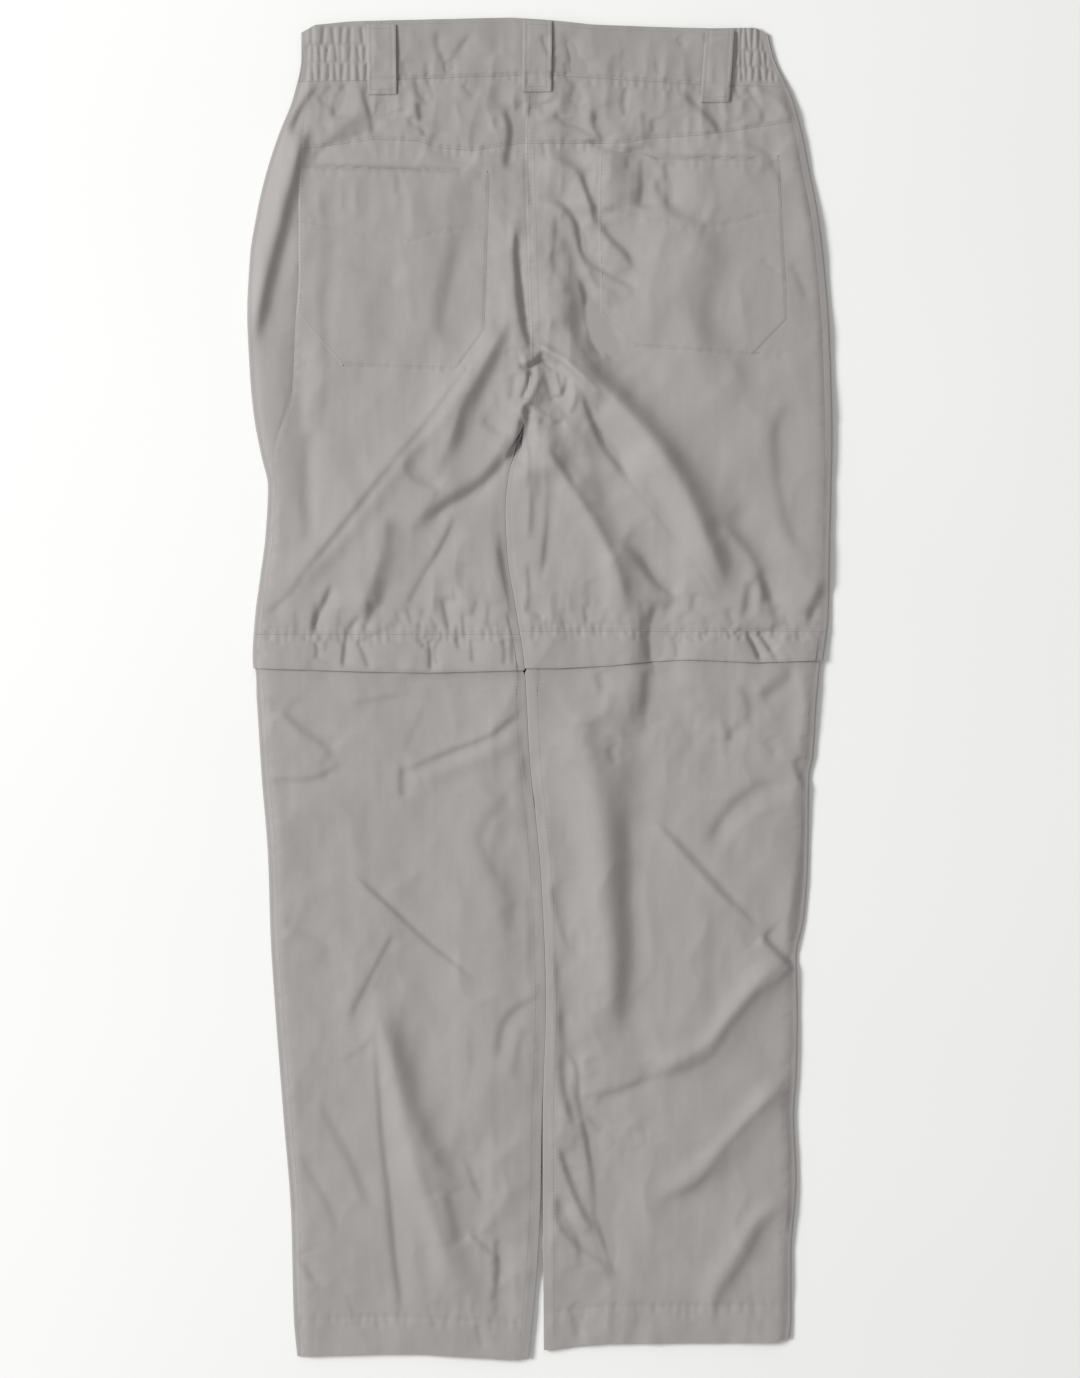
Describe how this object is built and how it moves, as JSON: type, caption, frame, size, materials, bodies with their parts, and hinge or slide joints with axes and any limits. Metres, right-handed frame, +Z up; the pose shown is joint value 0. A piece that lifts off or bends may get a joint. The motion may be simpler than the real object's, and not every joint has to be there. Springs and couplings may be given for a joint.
{
  "type": "zip-off walking trousers, laid flat",
  "caption": "Long walking trousers laid flat with the back up: gathered sides to the waistband, belt loops, patch seat pockets, and flaps over the zips that take the lower legs off.",
  "frame": {"origin": "middle of the outline seen from above, at the height of the table it lies on", "axes": "+Y along the legs towards the waistband, +Z up from the table out of the back of the trousers, +X to the right of someone who looks down on the back, which is the wearer's right"},
  "size_m": [0.4551, 1.0451, 0.019],
  "materials": {
    "cloth": "light grey plain-woven nylon, matt with a slight sheen",
    "pocket_cloth": "the same light grey plain-woven nylon, cut as patch pockets",
    "elastic_casing": "the same cloth gathered over wide elastic",
    "zip_tape": "woven tape, matt",
    "button_plastic": "moulded polyester, satin"
  },
  "bodies": {
    "root": {"back_calf_left": "cloth", "back_calf_right": "cloth", "back_pocket_left": "pocket_cloth", "back_pocket_right": "pocket_cloth", "back_thigh_left": "cloth", "back_thigh_right": "cloth", "back_yoke_left": "cloth", "back_yoke_right": "cloth", "belt_loop_back_centre": "cloth", "belt_loop_back_left": "cloth", "belt_loop_back_right": "cloth", "belt_loop_front_left": "cloth", "belt_loop_front_right": "cloth", "fly_zip": "zip_tape", "front_calf_left": "cloth", "front_calf_right": "cloth", "front_thigh_left": "cloth", "front_thigh_right": "cloth", "knee_flap_back_left": "cloth", "knee_flap_back_right": "cloth", "knee_flap_front_left": "cloth", "knee_flap_front_right": "cloth", "knee_zip_left": "zip_tape", "knee_zip_right": "zip_tape", "waist_button": "button_plastic", "waistband_back": "cloth", "waistband_elastic_left": "elastic_casing", "waistband_elastic_right": "elastic_casing", "waistband_front_left": "cloth", "waistband_front_right": "cloth"}
  },
  "joints": []
}
